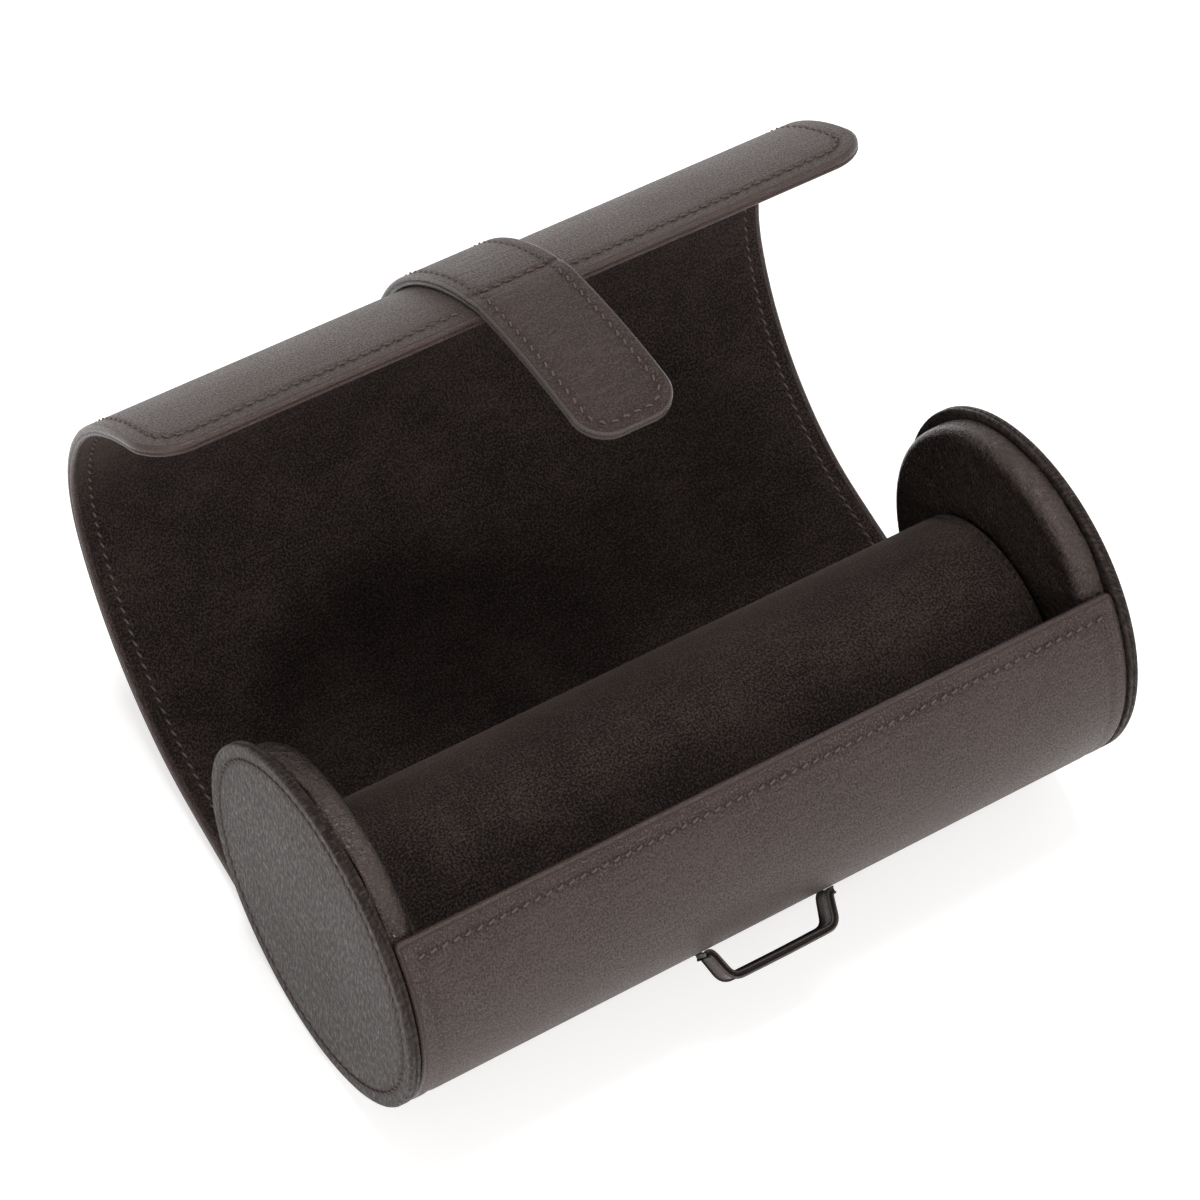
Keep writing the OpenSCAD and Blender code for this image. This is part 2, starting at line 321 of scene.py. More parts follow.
case_leather = leather("case_leather", (0.0070, 0.0046, 0.0041), (0.088, 0.062, 0.056),
                       grain=0.25, wrinkle=0.2, edge=(0.030, 0.020, 0.018))


def columns_to(half_w, near_edge, step):
    """Shares of the half width: dense where the stitches run, coarse between."""
    inside = np.arange(0, half_w - near_edge[-1], step)
    return np.concatenate([inside, half_w - np.array(near_edge[::-1])]) / half_w


def dense_to(start, end, step, fine, fine_from):
    """Rows from start to end, closer together over the last fine_from millimetres."""
    return np.unique(np.concatenate([np.arange(start, end, step),
                                     np.arange(end - fine_from, end, fine), [start]]))


def trough_wall(x, s, d):
    """The shell with s from the lowest line up the front wall to the lip."""
    return shell(x, -np.asarray(s), d)


coarse_column, coarse_row = 4.0, 2.0
stitch_inset, shell_seam = 4.5, 0.22
lip_corner_r = 1.6
shell_round = 0.9
shell_edge = edge_profile(shell_t, 0, shell_round, 0.7, notch=1.0)
lip_edge = edge_profile(shell_t, 0, shell_t / 2, shell_t / 2)
shell_columns = columns_to(shell_half_w - shell_round,
                           [0, 0.7, 1.9, 2.6, 3.1, 3.6, 4.1, 4.6, 5.3, 6.6], coarse_column)
joint_back = 8.0
lip_end = trough_l + shell_t / 2
trough = plate("trough_leather", trough_wall,
               dense_to(joint_back, lip_end, coarse_row, 0.45, 7.5), shell_half_w, lip_edge,
               shell_columns, case_leather, corner=lip_corner_r, end=lip_end,
               seam=(stitch_inset, shell_seam))
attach(trough, "case")
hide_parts("base_leather", "base_board")

map_pitch = 5
# Near black: the painted shade inside the needle holes.
needle_hole_shade = (0.003, 0.002, 0.002, 1)


def thread_finish(name, colour, pale):
    """Twisted thread, its plies' stripes blended towards pale as painted highlights. Its ends go
    down into needle holes, and near them the thread is coloured near black as the holes' painted
    shade. On its map the stitches lie map_pitch apart, each with its middle at a multiple of it."""
    f = Finish(name, Specular_IOR_Level=0.35)
    flat = f.surface()
    spread = f.node("ShaderNodeSeparateXYZ", {}, {"Vector": flat})
    off_middle = f.node("ShaderNodeMath", {"operation": "PINGPONG"},
                        {0: spread, 1: map_pitch / 2})
    # Near the stitch ends, and on the hole discs, the colour goes near black as painted shade.
    hole_shade = f.between(off_middle, 0.8, 1.02)
    ply = f.node("ShaderNodeTexWave", {"bands_direction": "DIAGONAL"},
                 {"Vector": flat, "Scale": 2.2})
    fuzz = f.noise(flat, 5.0)
    # The plies' stripes blend towards pale as painted highlights on the twist; fuzz is random
    # tone.
    tone = f.blend(ply * 0.7 + fuzz * 0.3, (*colour, 1), (*pale, 1))
    return f.finished(f.blend(hole_shade, tone, needle_hole_shade), 0.62 + 0.2 * fuzz,
                      0.05 * ply + 0.02 * fuzz)


# The pale colour is the painted highlight on the thread's plies.
thread = thread_finish("sewing_thread", (0.026, 0.016, 0.015), (0.170, 0.110, 0.103))
stitch_pitch, stitch_l, thread_r = 2.8, 1.95, 0.27
stitch_slant = math.radians(19)
stitch_top, stitch_arch = 0.16, 0.42
hole_l, hole_w, hole_lift = 0.42, 0.34, 0.02


def ring_faces(rings, around, first=0):
    """Faces between closed rings of points, numbered from first."""
    return [(first + i * around + j, first + i * around + (j + 1) % around,
             first + (i + 1) * around + (j + 1) % around, first + (i + 1) * around + j)
            for i in range(rings - 1) for j in range(around)]


def stitches(name, place, spots, directions, up):
    """One small arched thread per spot, with a flat disc at each end, coloured near black as the
    needle hole's painted shade. place(a, b, d) is the surface that they lie on, spots are (a, b),
    directions the way the row runs there, and up the sign of d away from the surface."""
    stations, around, hole_corners = (-1, -0.86, -0.5, 0, 0.5, 0.86, 1), 7, 10
    turned_c, turned_s = math.cos(stitch_slant), math.sin(stitch_slant)
    points, faces, uv = [], [], []
    for k, (spot, (row_a, row_b)) in enumerate(zip(spots, directions)):
        way = np.array([row_a * turned_c - row_b * turned_s, row_a * turned_s + row_b * turned_c])
        side = np.array([-way[1], way[0]])
        first = len(points)
        for u in stations:
            r = thread_r * math.sqrt(max(0.05, 1 - 0.9 * u ** 4))
            lift = stitch_top - stitch_arch * u * u
            for j in range(around):
                turn = 2 * math.pi * j / around
                p = np.array(spot) + way * u * stitch_l / 2 + side * r * math.cos(turn)
                points.append((*p, up * (lift + r * math.sin(turn))))
                uv.append((k * map_pitch + u * stitch_l / 2, j * 0.3))
        faces += ring_faces(len(stations), around, first)
        faces.append(tuple(range(first, first + around)))
        faces.append(tuple(range(len(points) - around, len(points))))
        # At each end a flat disc just over the surface, coloured as the needle hole's painted
        # shade.
        for u in (-1, 1):
            faces.append(tuple(range(len(points), len(points) + hole_corners)))
            for j in range(hole_corners):
                turn = 2 * math.pi * j / hole_corners
                p = (np.array(spot) + way * u * (stitch_l / 2 + hole_l * math.cos(turn))
                     + side * hole_w * math.sin(turn))
                points.append((*p, up * hole_lift))
                uv.append((k * map_pitch + 1.2, 0.0))
    return piece(name, place(*np.array(points).T), faces, uv, thread)


def spaced(start, end, pitch=stitch_pitch):
    """Middles of equal steps from start to end, close to pitch long."""
    count = max(1, round((end - start) / pitch))
    return start + (np.arange(count) + 0.5) * (end - start) / count


shell_seat = shell_t - 0.16
row_end = shell_half_w - 3.5
lip_row = [(x, lip_end - stitch_inset) for x in spaced(-row_end, row_end)]
lip_stitches = stitches("lip_stitches", lambda x, s, d: trough_wall(x, s, shell_seat + d),
                        lip_row, [(1, 0)] * len(lip_row), 1)
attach(lip_stitches, "case")

# ---------------------------------------------------------------------------
# Trough lining. Brown suede over a thin pad, glued into the trough between the
# end plugs. Its upper edge is a soft round roll just behind the leather lip.
# ---------------------------------------------------------------------------

nap_shine = (0.46, 0.35, 0.31, 1)
patch_scale, brushed_scale, fibre_scale = 0.05, 0.35, 1.8


def suede_finish(name, dark, nap):
    """Short nap: fine dark and light fibres, with soft patches where it has been brushed."""
    f = Finish(name, Specular_IOR_Level=0.12, Sheen_Weight=0.2, Sheen_Roughness=0.45,
               Sheen_Tint=nap_shine)
    flat = f.surface()
    patches = f.noise(flat, patch_scale, 4.0, 0.6)
    brushed = f.noise(f.surface((0.5, 1.0, 1)), brushed_scale, 4.0, 0.6)
    fibres = f.noise(flat, fibre_scale, 4.0, 0.8)
    nap_up = f.between(fibres, 0.4, 0.66)
    share = 0.75 * nap_up + 0.5 * (patches - 0.42) + 0.35 * (brushed - 0.5)
    tone = f.blend(f.between(share, 0.0, 0.95), (*dark, 1), (*nap, 1))
    return f.finished(tone, 0.88 + 0.1 * fibres, 0.16 * fibres + 0.1 * brushed + 0.4 * patches)


suede = suede_finish("brown_suede", (0.0022, 0.0014, 0.0012), (0.050, 0.0345, 0.0300))

pad_t, pad_d, pad_round = 2.9, 0.65, 1.45
lining_half_w = 85.0
pad_start, pad_end = 2.9, trough_l - 2.45
thin_share, thin_l = 0.3, 14


def padded_lining(x, s, d):
    """The pad thins out towards the lid, where the suede goes on as a single layer."""
    s = np.asarray(s, float)
    up = np.clip((s - pad_start) / thin_l, 0, 1)
    full = thin_share + (1 - thin_share) * up * up * (3 - 2 * up)
    return trough_wall(x, s, pad_d - (pad_d - np.asarray(d)) * full)


trough_lining = plate("trough_lining", padded_lining,
                      dense_to(pad_start, pad_end, coarse_row, 0.5, 4), lining_half_w,
                      edge_profile(pad_d, pad_d - pad_t, pad_round, pad_round),
                      columns_to(lining_half_w - pad_round, [0, 1, 2, 3.5], coarse_column),
                      suede, corner=lip_corner_r, end=pad_end)
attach(trough_lining, "case")
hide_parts("base_lining")

# ---------------------------------------------------------------------------
# Lid. The same leather sheet goes on behind the trough as a curling lid, lined
# with a single layer of suede. Its edges are turned and sewn all round, and the
# two front corners are rounded. It bends in nine folds that follow each other.
# ---------------------------------------------------------------------------

lid_corner_r = 11.0
turn_in = 1.35
lid_lining_half_w = shell_half_w - turn_in
fold_mid = fold_start[:-1] + fold_l / 2
strip_from = np.concatenate([[-joint_back], fold_mid[:-1]])
strip_to = np.concatenate([fold_mid[:-1], [lid_l]])
fold_bodies = ["case"] * 2 + ["lid_2"] * 2 + ["lid_4"] * 5 + ["lid_9"]
lining_edge = edge_profile(0.45, -0.22, 0.2, 0.3)
lining_columns = columns_to(lid_lining_half_w - 0.3,
                            [0, 0.7, 1.5, 2.1, 2.6, 3.1, 3.6, 4.2, 5.4], coarse_column)
lining_seam = (stitch_inset - turn_in, 0.2)
lining_seat = -0.08
under_strap_half_w, under_strap_l = 13, 6


def follow(o, bodies, place, blend_from, blend_to):
    """Where both bodies are the same, the piece o rides on that body. Between two different
    bodies it rides on neither: its mesh is baked where it stands, and the ends worked out from
    place, blend_from and blend_to are not used."""
    if bodies[0] == bodies[1]:
        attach(o, bodies[0])
    else:
        ends = [tuple(place(0.0, s, 0.0) / 1000) for s in (blend_from, blend_to)]
        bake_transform(o)


def sewn_round(half_w, corner_r, start, end, inset):
    """Evenly spaced (x, s) spots and directions up one side of a sheet from start, round its
    end's two corners and back down the other side."""
    side = end - corner_r - start
    turn = (corner_r - inset) * math.pi / 2
    corner_x, corner_s = half_w - corner_r, end - corner_r
    total = 2 * side + 2 * turn + 2 * corner_x
    spots, ways = [], []
    for u in spaced(0, total):
        flip = u > total / 2
        v = total - u if flip else u
        if v < side:
            x, s, way = inset - half_w, start + v, (0, 1)
        elif v < side + turn:
            a = (v - side) / (corner_r - inset)
            x = -corner_x - (corner_r - inset) * math.cos(a)
            s = corner_s + (corner_r - inset) * math.sin(a)
            way = (math.sin(a), math.cos(a))
        else:
            x, s, way = v - side - turn - corner_x, end - inset, (1, 0)
        spots.append((-x if flip else x, s))
        ways.append((way[0], -way[1]) if flip else way)
    return spots, ways


lid_spots, lid_ways = sewn_round(shell_half_w, lid_corner_r, -2.0, lid_l, stitch_inset)
for k in range(1, 10):
    a, b = strip_from[k - 1], strip_to[k - 1]
    last = k == 9
    rows = np.linspace(a, b, 1 + math.ceil((b - a) / 1.8))
    skin_end, suede_end = {}, {}
    if last:
        rows = dense_to(a, b, coarse_row, 0.5, 6.5)
        skin_end = dict(corner=lid_corner_r, end=lid_l)
        suede_end = dict(corner=lid_corner_r - turn_in, end=lid_l - turn_in)
    skin = plate(f"lid_skin_{k}", shell, rows, shell_half_w, shell_edge, shell_columns,
                 case_leather, seam=(stitch_inset, shell_seam), **skin_end)
    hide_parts(f"lid_leather_{k}", f"lid_board_{k}")
    lined_from = -pad_start if k == 1 else a
    rows = np.concatenate([[lined_from], rows[rows > lined_from + least_row]])
    lining = plate(f"lid_suede_{k}", shell, rows, lid_lining_half_w, lining_edge,
                   lining_columns, suede, seam=lining_seam, **suede_end)
    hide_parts(f"lid_lining_{k}")
    here = [i for i, (x, s) in enumerate(lid_spots) if (a <= s < b or (last and s >= b))
            and (abs(x) > under_strap_half_w or s < lid_l - under_strap_l)]
    sewn = [lid_spots[i] for i in here], [lid_ways[i] for i in here]
    outer = stitches(f"lid_stitches_{k}", lambda x, s, d: shell(x, s, shell_seat + d), *sewn, 1)
    inner = stitches(f"lining_stitches_{k}", lambda x, s, d: shell(x, s, lining_seat + d),
                     *sewn, -1)
    for o, slot in ((skin, "shell_leather"), (lining, "suede"), (outer, "shell_leather"),
                    (inner, "suede")):
        follow(o, fold_bodies[k - 1:k + 1], shell, a, fold_mid[k - 1])

# ---------------------------------------------------------------------------
# Strap. Two layers of leather, glued and sewn along both edges, lie over the
# back of the lid and go on beyond its free edge as a tongue with round corners.
# The edges are sanded and burnished to a paler grey.
# ---------------------------------------------------------------------------

strap_half_w, strap_t, strap_round = 12.0, 2.6, 0.8
strap_corner_r = 8.0
strap_gap = 0.05
strap_inset, strap_seam = 3.0, 0.2
cross_s, cross_depth = lid_l - stitch_inset, 0.3
tongue_l, tongue_root_l = 45.0, 30.0
tongue_kink, tongue_curl = math.radians(10), math.radians(1 / 3)

y, z, heading = fold_place[-1]
tongue_y, tongue_z = y + shell_t * math.sin(heading), z - shell_t * math.cos(heading)
tongue_heading = heading + tongue_kink


def strap(x, s, d):
    """A point of the strap: s goes on from the lid's along the tongue, d is from the strap's
    underside. Its upper face sinks in at the row of stitches across."""
    x, s, d = (np.asarray(v, float) for v in np.broadcast_arrays(x, s, d))
    d = d - groove(s, cross_s, cross_depth) * (d > strap_t / 2) + strap_gap
    on_lid = shell(x, np.minimum(s, lid_l), d + shell_t)
    heading = tongue_heading + tongue_curl * np.maximum(s - lid_l, 0)
    y = tongue_y + (np.sin(heading) - math.sin(tongue_heading)) / tongue_curl
    z = tongue_z - (np.cos(heading) - math.cos(tongue_heading)) / tongue_curl
    free = np.stack([x, y + d * np.sin(heading), z - d * np.cos(heading)], -1)
    return np.where((s > lid_l)[..., None], free, on_lid)


def strap_seat(x, s, d):
    """Where the strap's threads lie. The row across lies higher in its groove than the long rows
    do."""
    across = np.abs(x) < strap_half_w - 3.45
    return strap(x, s, strap_t - 0.14 + d + groove(s, cross_s, 0.2) * across)


strap_leather = leather("strap_leather", (0.0070, 0.0046, 0.0040), (0.068, 0.0472, 0.0423),
                        wrinkle=0.32, gloss=0.34, edge=(0.044, 0.036, 0.034))
strap_edge = edge_profile(strap_t, 0, strap_round, 0.6, notch=1.2)
strap_columns = columns_to(strap_half_w - strap_round,
                           [0, 0.6, 1.3, 1.8, 2.3, 2.8, 3.4, 4.4], 2.0)
strap_row = 1.5
near_cross = np.array([-1.6, -0.9, -0.45, 0, 0.45, 0.9, 1.6])
strap_start, strap_end = fold_start[3] + 0.2, lid_l + tongue_l
tip_bend, bend_half_l = lid_l + tongue_root_l, 8
strap_lengths = [
    (strap_start, fold_mid[3], ("lid_2", "lid_4"), (fold_mid[2], fold_mid[3]),
     ("strap_face_4", "strap_back_4")),
    (fold_mid[3], fold_mid[7], ("lid_4", "lid_4"), (fold_mid[3], fold_mid[7]),
     [f"strap_{layer}_{k}" for k in (5, 6, 7, 8) for layer in ("face", "back")]),
    (fold_mid[7], fold_mid[8], ("lid_4", "lid_9"), (fold_mid[7], fold_mid[8]),
     ("strap_face_9", "strap_back_9")),
    (fold_mid[8], lid_l + 10, ("lid_9", "tongue_root"),
     (lid_l - bend_half_l, lid_l + bend_half_l), ("tongue_face_root", "tongue_back_root")),
    (lid_l + 10, strap_end, ("tongue_root", "tongue_tip"),
     (tip_bend - bend_half_l, tip_bend + bend_half_l), ("tongue_face_tip", "tongue_back_tip")),
]

strap_spots, strap_ways = sewn_round(strap_half_w, strap_corner_r, fold_start[3] + 2.5,
                                     strap_end, strap_inset)
cross_row = spaced(-strap_half_w + 3.6, strap_half_w - 3.6)
strap_spots += [(x, cross_s) for x in cross_row]
strap_ways += [(1, 0)] * len(cross_row)
for k, (a, b, bodies, bend, nodes) in enumerate(strap_lengths, 1):
    rows = np.linspace(a, b, 1 + math.ceil((b - a) / strap_row))
    ends = {}
    if a < cross_s < b:
        rows = rows[np.abs(rows - cross_s) > 2.2]
        rows = np.sort(np.concatenate([rows, cross_s + near_cross]))
    if b == strap_end:
        rows = dense_to(a, b, strap_row, 0.5, 5)
        ends = dict(corner=strap_corner_r, end=strap_end)
    band = plate(f"strap_{k}", strap, rows, strap_half_w, strap_edge, strap_columns,
                 strap_leather, seam=(strap_inset, strap_seam), **ends)
    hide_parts(*nodes)
    here = [i for i, (_, s) in enumerate(strap_spots) if a <= s < b]
    sewn = stitches(f"strap_stitches_{k}", strap_seat, [strap_spots[i] for i in here],
                    [strap_ways[i] for i in here], 1)
    for o in (band, sewn):
        follow(o, bodies, strap, *bend)

# ---------------------------------------------------------------------------
# Ends. Each end is a stiff leather disc, sewn all round near its rim, with a
# thick padded plug behind it. The plug is leather drawn over foam, with a fat
# round edge towards the inside, and the disc and plug pinch a dark groove.
# ---------------------------------------------------------------------------

disc_x, disc_in_x, disc_r, disc_round = 95.3, 92.7, 43.0, 0.8
disc_inset, disc_seam, disc_seat = 3.7, 0.24, -0.18
disc_bulge, bulge_r = 0.12, 38.0
plug_r, plug_x, plug_round = 39.9, 85.3, 3.6
plug_swell = [(-90, 0.2), (-60, 0.6), (25, 0.65), (35, 1.0), (45, 1.75), (54, 2.3), (114, 2.3),
              (125, 1.3), (133, 0.2), (270, 0.2)]
least_r = 0.01
sectors = 144
around = np.linspace(0, 2 * np.pi, sectors, endpoint=False)


def turned(name, profile, centre, unrolled, finish, swell=0.0):
    """A profile of (radius, x) turned about a line along x that goes through centre, (y, z). Its
    rim is pushed out by swell, which may differ round the turn. unrolled gives the map of a ring
    from its distance along the profile and its x."""
    profile = np.array(profile, float)
    run = np.cumsum(np.concatenate([[0], np.hypot(*np.diff(profile, axis=0).T)]))
    points, uv = [], []
    for (r, x), q in zip(profile, run):
        r = r + swell * np.clip((r - 28) / 10, 0, 1) ** 2
        points.append(np.stack([np.full(sectors, x), r * np.cos(around) + centre[0],
                                r * np.sin(around) + centre[1]], -1))
        uv.append(unrolled(q, x))
    return piece(name, np.concatenate(points), ring_faces(len(profile), sectors),
                 np.concatenate(uv), finish)


def disc_profile():
    """From the middle of the outer face over the seam and the rim, which shows two layers with a
    notch between them, to the middle of the inner face."""
    rows = [(r, disc_x + disc_bulge * (1 - (r / bulge_r) ** 2))
            for r in (least_r, 4, 8, 12, 16, 20, 24, 28, 31, 34)]
    for r in np.arange(35.5, 41.9, 0.35):
        rows.append((r, disc_x - 0.02 - groove(r, disc_r - disc_inset, disc_seam, 0.8)))
    for a in np.radians([0, 25, 50, 75, 90]):
        rows.append((disc_r - disc_round + disc_round * math.sin(a),
                     disc_x - disc_round + disc_round * math.cos(a)))
    notch = (disc_x + disc_in_x) / 2 - 0.2
    rows += [(disc_r, notch + 0.3), (disc_r - 0.25, notch), (disc_r, notch - 0.3)]
    rows += [(disc_r, disc_in_x + 0.4), (disc_r - 0.12, disc_in_x + 0.12)]
    rows += [(r, disc_in_x) for r in (disc_r - 0.4, 41.5, 40, 36, 30, 20, 10, least_r)]
    return rows


def plug_profile():
    """From the middle of the face that looks inwards over the fat round edge to the disc."""
    rows = [(r, plug_x + 0.2 - 0.2 * math.cos(r / 36 * math.pi / 2))
            for r in np.linspace(least_r, 35.5, 14)]
    for a in np.radians(np.linspace(0, 90, 10)):
        rows.append((plug_r - plug_round + plug_round * math.sin(a),
                     plug_x + plug_round - plug_round * math.cos(a)))
    rows += [(plug_r, 90.5), (plug_r, 91.9), (plug_r - 0.25, 92.35), (plug_r - 0.7, 92.55)]
    rows += [(r, 92.6) for r in (plug_r - 2, 30, 20, 10, least_r)]
    return rows


def stuffed(o, pinned, most):
    """Lets the cover of the closed piece o swell over its stuffing. A copy that starts shrunken
    by most millimetres is remeshed, enlarged and simulated as cloth under pressure from inside.
    Each point of o then moves out from the shrunken shape by as much as the simulated cover moved
    there, and no further than o."""
    enlarged, voxel, pressure, steps, reach = 5.0, 4.0, 4.0, 20, 6.0
    count = len(o.data.vertices)
    at, out = np.zeros(count * 3), np.zeros(count * 3)
    o.data.vertices.foreach_get("co", at)
    o.data.vertices.foreach_get("normal", out)
    at, out = at.reshape(-1, 3), out.reshape(-1, 3)
    start = at - out * most / 1000
    trial = bpy.data.objects.new("cover_trial", o.data.copy())
    bpy.context.scene.collection.objects.link(trial)
    trial.data.vertices.foreach_set("co", (start * enlarged).ravel())
    remesh = trial.modifiers.new("remesh", "REMESH")
    remesh.mode, remesh.voxel_size = "VOXEL", voxel / 1000 * enlarged
    evaluated = trial.evaluated_get(bpy.context.evaluated_depsgraph_get())
    cover = bpy.data.meshes.new_from_object(evaluated)
    trial.modifiers.clear()
    trial.data = cover
    held = [v.index for v in cover.vertices if pinned(v.co * 1000 / enlarged)]
    trial.vertex_groups.new(name="pinned").add(held, 1.0, "ADD")
    cloth = trial.modifiers.new("cover", "CLOTH").settings
    cloth.quality, cloth.mass, cloth.vertex_group_mass = 6, 0.3, "pinned"
    cloth.use_pressure, cloth.uniform_pressure_force = True, pressure
    cloth.effector_weights.gravity = 0
    trial.modifiers.new("smooth", "SUBSURF").levels = 1
    back = reach / 1000 * enlarged
    moved = []
    for step in range(1, steps + 1):
        bpy.context.scene.frame_set(step)
        if step in (1, steps):
            surface = BVHTree.FromObject(trial, bpy.context.evaluated_depsgraph_get())
            hits = [surface.ray_cast(Vector(p * enlarged - n * back), Vector(n))[3]
                    for p, n in zip(start, out)]
            moved.append(np.array([back if h is None else h for h in hits]) / enlarged)
    bpy.context.scene.frame_set(1)
    bpy.data.objects.remove(trial)
    grown = np.clip(moved[1] - moved[0], 0, most / 1000)
    o.data.vertices.foreach_set("co", (start + out * grown[:, None]).ravel())
    o.data.update()


end_leather = leather("end_leather", (0.0014, 0.0010, 0.0009), (0.036, 0.0267, 0.0240),
                      grain=0.34, stretch=(0.62, 0.2, 1), gloss=0.24)
# The plug's leather is coloured much darker than the disc's, as painted shade for its face in the
# recess at the trough's end.
shaded_plug_leather = leather("shaded_plug_leather", (0.0022, 0.0014, 0.0012), (0.014, 0.0092, 0.0081),
                       grain=0.07, wrinkle=0.1, stretch=(0.8, 0.4, 1), rough=0.2, gloss=0.6)
degrees = np.degrees(around)
swell = np.interp(np.where(degrees > 270, degrees - 360, degrees), *zip(*plug_swell))
swell = np.convolve(np.concatenate([swell[-4:], swell, swell[:4]]), np.full(9, 1 / 9), "valid")
seam_r = disc_r - disc_inset
seam_turns = spaced(0, 2 * math.pi, stitch_pitch / seam_r)
seam_ways = [(-math.sin(t), math.cos(t)) for t in seam_turns]
seam_spots = [(seam_r * math.cos(t), seam_r * math.sin(t)) for t in seam_turns]
for side, hand in ((-1, "left"), (1, "right")):
    def face_map(q, x):
        """Keeps the faces flat and unrolls the rim round them."""
        q = max(q, 1e-4)
        return np.stack([q * np.cos(around) + 200 * side, q * np.sin(around)], -1)

    disc = turned(f"end_disc_{hand}", np.array(disc_profile()) * (1, side), (0, case_r),
                  face_map, end_leather)
    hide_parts(f"end_cover_{hand}", f"end_board_{hand}")
    plug = turned(f"end_plug_{hand}", np.array(plug_profile()) * (1, side), (0, case_r),
                  face_map, shaded_plug_leather, swell)
    stuffed(plug, lambda p: abs(p.x) > 90.5, 0.5)
    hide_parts(f"plug_cover_{hand}", f"plug_core_{hand}")
    ring = stitches(f"disc_stitches_{hand}",
                    lambda a, b, d: np.stack([side * (disc_x + disc_seat + d), a, case_r + b], -1),
                    seam_spots, seam_ways, 1)
    for o in (disc, plug, ring):
        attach(o, "case")

# ---------------------------------------------------------------------------
# Cushion. A firm foam roll in a suede sleeve with a flat suede cap sewn to each
# end. It lies loose in the trough, and a watch is strapped round it.
# ---------------------------------------------------------------------------

cushion_r, cushion_half_l = 28.8, 85.0
cap_r, cap_round, cap_seam = 26.8, 1.1, cushion_half_l - 1.9
cushion_low, cushion_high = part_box("cushion_cover")
cushion_at = ((cushion_low + cushion_high) / 2) * 1000


def roll_profile():
    """From the middle of an end cap over the sewn seam to the middle of the sleeve."""
    rows = [(r, cushion_half_l + 0.15 - 0.25 * (r / 27.5) ** 2)
            for r in np.linspace(least_r, cap_r, 12)]
    for a in np.radians(np.linspace(0, 90, 7)):
        rows.append((cushion_r - 1.2 + cap_round * math.sin(a),
                     cushion_half_l - 1.2 + cap_round * math.cos(a)))
    rows += [(cushion_r - 0.35, cap_seam + 0.35), (cushion_r - 0.75, cap_seam),
             (cushion_r - 0.3, cap_seam - 0.4)]
    for a in np.radians([20, 45, 70, 90]):
        rows.append((cushion_r - 0.5 + 0.5 * math.sin(a), cap_seam - 0.9 + 0.5 * math.cos(a)))
    rows += [(cushion_r, x) for x in np.arange(79, 0, -3.0)]
    return rows


def in_cap(p):
    """Whether the point p of the cover lies on a cap's seam, where it is held."""
    return abs(p.x) > 81.5 and math.hypot(p.y - cushion_at.y, p.z - cushion_at.z) > 26


half = np.array(roll_profile())
cushion = turned("cushion_roll", np.concatenate([half, half[::-1] * (1, -1)]),
                 (cushion_at.y, cushion_at.z),
                 lambda q, x: np.stack([np.full(sectors, x + 400), around * cushion_r], -1), suede)
stuffed(cushion, in_cap, 0.8)
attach(cushion, "cushion")
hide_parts("cushion_cover", "cushion_foam", "cushion_cap_left", "cushion_cap_right")

# ---------------------------------------------------------------------------
# Keeper. A narrow band of smooth dark leather, sewn down at both ends on the
# front of the trough, stands off it so that the tongue slides through.
# ---------------------------------------------------------------------------

keeper_half_w, keeper_t, keeper_h = 3.6, 1.9, 7.3
keeper_mid = math.radians(199.0) + keeper_half_w / case_r
keeper_corner, keeper_heel, keeper_foot = 13.75, 15.75, 17.95
heel_bend, corner_bend, band_round = 1.6, 2.4, 0.5


def keeper_place(x, v, h):
    """A point of the band: x along the case, v down the trough's front, h off the trough."""
    a, r = keeper_mid + np.asarray(v) / case_r, case_r + np.asarray(h)
    return np.stack([np.asarray(x) + 0 * a, r * np.cos(a), case_r + r * np.sin(a)], -1)


def keeper_path():
    """Middle line of the band as (x, height): a foot, a slanted flank and the bridge, then the
    same back."""
    low, high = keeper_t / 2 + 0.05, keeper_h + keeper_t / 2
    corners = np.array([(keeper_foot - 0.8, low), (keeper_heel, low), (keeper_corner, high),
                        (0, high)])
    right = [corners[0]]
    for k, bend in ((1, heel_bend), (2, corner_bend)):
        before, after = (v / np.linalg.norm(v) * min(bend, 0.45 * np.linalg.norm(v))
                         for v in (corners[k - 1] - corners[k], corners[k + 1] - corners[k]))
        for t in np.linspace(0, 1, 7):
            right.append(corners[k] + before * (1 - t) ** 2 + after * t ** 2)
    right = np.array(right + [(7.0, high + 0.05), (0.0, high + 0.1)])
    return np.concatenate([right, right[-2::-1] * (-1, 1)])


section = []
for v, w in ((-1, -1), (-1, 1), (1, 1), (1, -1)):
    for t in np.radians([0, 30, 60, 90]):
        c = (math.cos(t), math.sin(t)) if v * w > 0 else (math.sin(t), math.cos(t))
        section.append((v * (keeper_half_w - band_round + band_round * c[0]),
                        w * (keeper_t / 2 - band_round + band_round * c[1])))
wide, thick = np.array(section).T
path = keeper_path()
way = np.gradient(path, axis=0)
way /= np.linalg.norm(way, axis=1)[:, None]
run = np.cumsum(np.concatenate([[0], np.hypot(*np.diff(path, axis=0).T)]))
points = [keeper_place(x + n * thick, wide, h - m * thick) for (x, h), (m, n) in zip(path, way)]
uv = [np.stack([np.full(len(wide), q), wide * 1.5 + thick], -1) for q in run]
faces = ring_faces(len(path), len(wide))
faces += [range(len(wide)), range((len(path) - 1) * len(wide), len(path) * len(wide))]
rim = np.tile((np.abs(wide) > keeper_half_w - 0.3).astype(float), len(path))
keeper_leather = leather("keeper_leather", (0.005, 0.0036, 0.0033), (0.026, 0.020, 0.0185),
                         rough=0.42, edge=(0.040, 0.034, 0.033))
keeper = piece("keeper_band", np.concatenate(points), faces, np.concatenate(uv), keeper_leather,
               rim)
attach(keeper, "case")
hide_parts("keeper_loop")

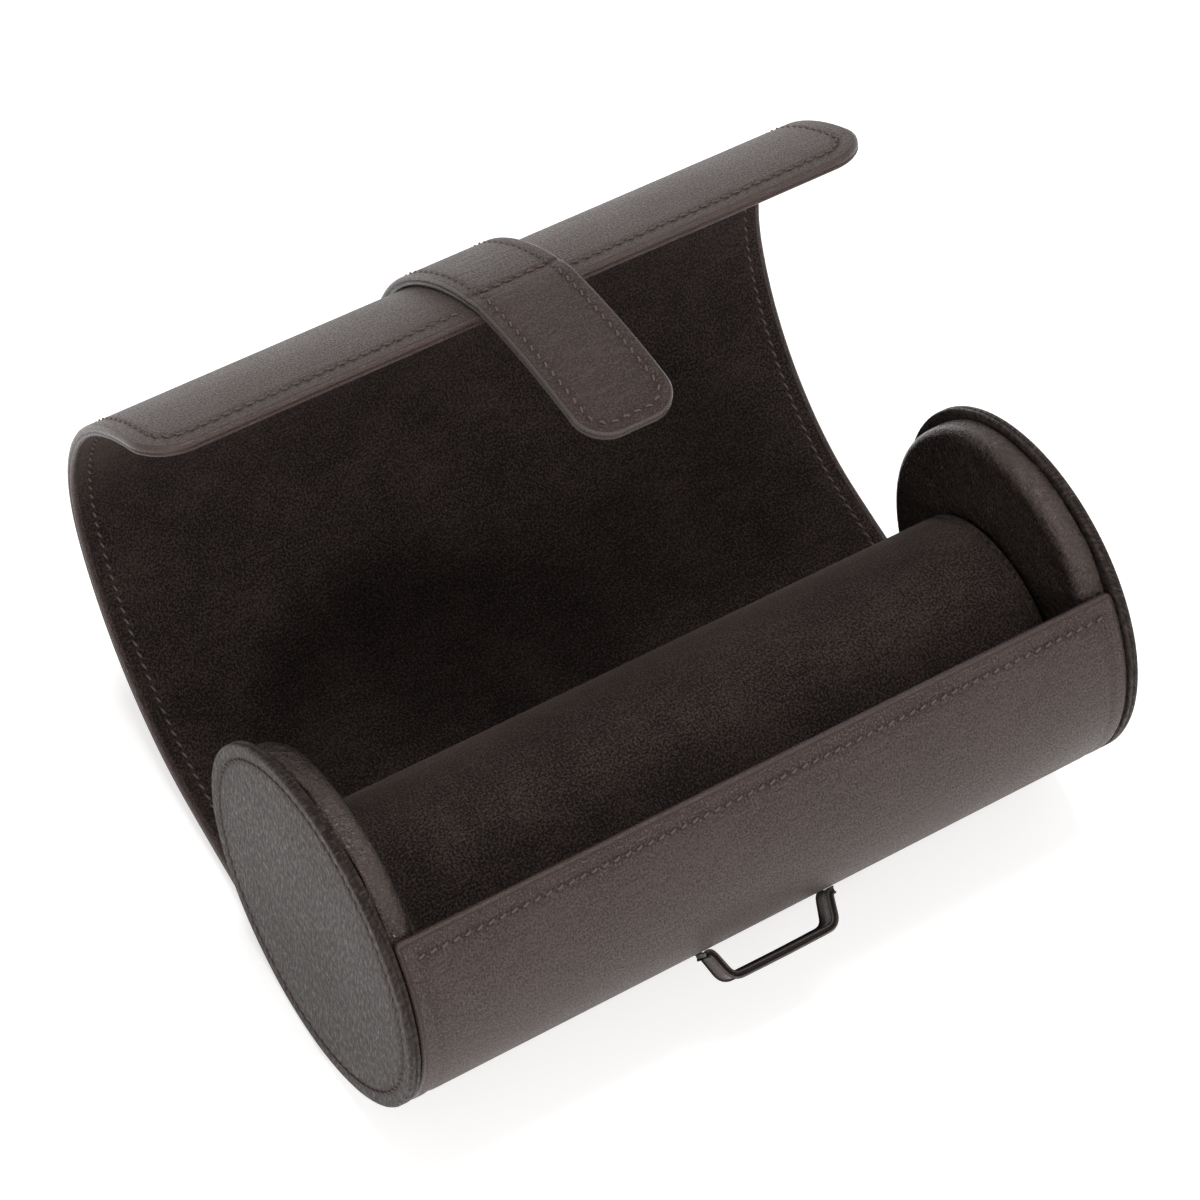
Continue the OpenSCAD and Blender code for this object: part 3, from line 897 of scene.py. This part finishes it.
# ---------------------------------------------------------------------------
# Studio. A plain white floor, which also glows as painted light, more strongly
# away from the case, under large soft lamps, and the camera that looks down over
# the front lip at the open case.
# ---------------------------------------------------------------------------

scene = bpy.context.scene
scene.view_settings.view_transform = "Standard"

floor_half, floor_z = 8.0, -0.0006
floor_mesh = bpy.data.meshes.new("floor")
floor_mesh.from_pydata([(-floor_half, -floor_half, 0), (floor_half, -floor_half, 0),
                        (floor_half, floor_half, 0), (-floor_half, floor_half, 0)],
                       [], [(0, 1, 2, 3)])
floor = bpy.data.objects.new("floor", floor_mesh)
scene.collection.objects.link(floor)
floor.location.z = floor_z
# The floor glows as painted light, though it is no lamp: faintly near the case, where its shadow
# stays, and more strongly farther out, so that it reads white and lights the case from below.
paper = Finish("floor_paper", Roughness=0.9, Base_Color=(0.86, 0.86, 0.86, 1),
               Emission_Strength=0.9)
spot = paper.node("ShaderNodeTexCoord", {}, {}, out=3)
away = paper.node("ShaderNodeVectorMath", {"operation": "LENGTH"}, {0: spot}, out=1)
# Painted light: the glow is weaker under the case than farther out.
near_glow, far_glow = (0.47, 0.463, 0.458, 1), (0.8, 0.8, 0.8, 1)
glow = paper.blend(paper.between(away, 0.3, 1.2), near_glow, far_glow)
paper.tree.links.new(glow.socket, paper.shader.inputs["Emission Color"])
floor_mesh.materials.append(paper.material)

world = bpy.data.worlds.new("studio")
scene.world = world
world.use_nodes = True
tree = world.node_tree
rays = tree.nodes.new("ShaderNodeLightPath")
seen = rays.outputs["Is Camera Ray"]
for kind in ("Is Glossy Ray", "Is Transmission Ray"):
    either = tree.nodes.new("ShaderNodeMath")
    either.operation = "MAXIMUM"
    tree.links.new(seen, either.inputs[0])
    tree.links.new(rays.outputs[kind], either.inputs[1])
    seen = either.outputs[0]
strength = tree.nodes.new("ShaderNodeMapRange")
tree.links.new(seen, strength.inputs["Value"])
strength.inputs["To Min"].default_value = 0.42
strength.inputs["To Max"].default_value = 1.0
back = tree.nodes["Background"]
tree.links.new(strength.outputs[0], back.inputs["Strength"])
back.inputs["Color"].default_value = (1, 1, 1, 1)


def lamp(name, at, aim_z, size, power):
    """A square lamp that shines at the point aim_z metres over the origin."""
    data = bpy.data.lights.new(name, "AREA")
    data.energy, data.size = power, size
    o = bpy.data.objects.new(name, data)
    scene.collection.objects.link(o)
    o.location = at
    o.rotation_mode = "QUATERNION"
    o.rotation_quaternion = (Vector((0, 0, aim_z)) - Vector(at)).to_track_quat("-Z", "Y")


lamp("lamp_above", (0.05, 0.35, 1.3), 0.05, 0.6, 12)
lamp("lamp_left", (-0.95, -0.8, 0.75), 0.04, 0.26, 8)
lamp("lamp_right", (0.55, -1.05, 0.7), 0.04, 0.22, 5)

camera_data = bpy.data.cameras.new("camera")
camera_data.sensor_width, camera_data.lens = 36.0, 127.1
camera_data.clip_start, camera_data.clip_end = 0.05, 20
camera = bpy.data.objects.new("camera", camera_data)
scene.collection.objects.link(camera)
scene.camera = camera
camera_at = (-0.3433, -0.3457, 0.8528)
right, up = Vector((0.8437, -0.5251, 0.1116)), Vector((0.3970, 0.7502, 0.5287))
backwards = right.cross(up).normalized()
up = backwards.cross(right).normalized()
turn = Matrix((right.normalized(), up, backwards)).transposed()
camera.matrix_world = Matrix.Translation(camera_at) @ turn.to_4x4()
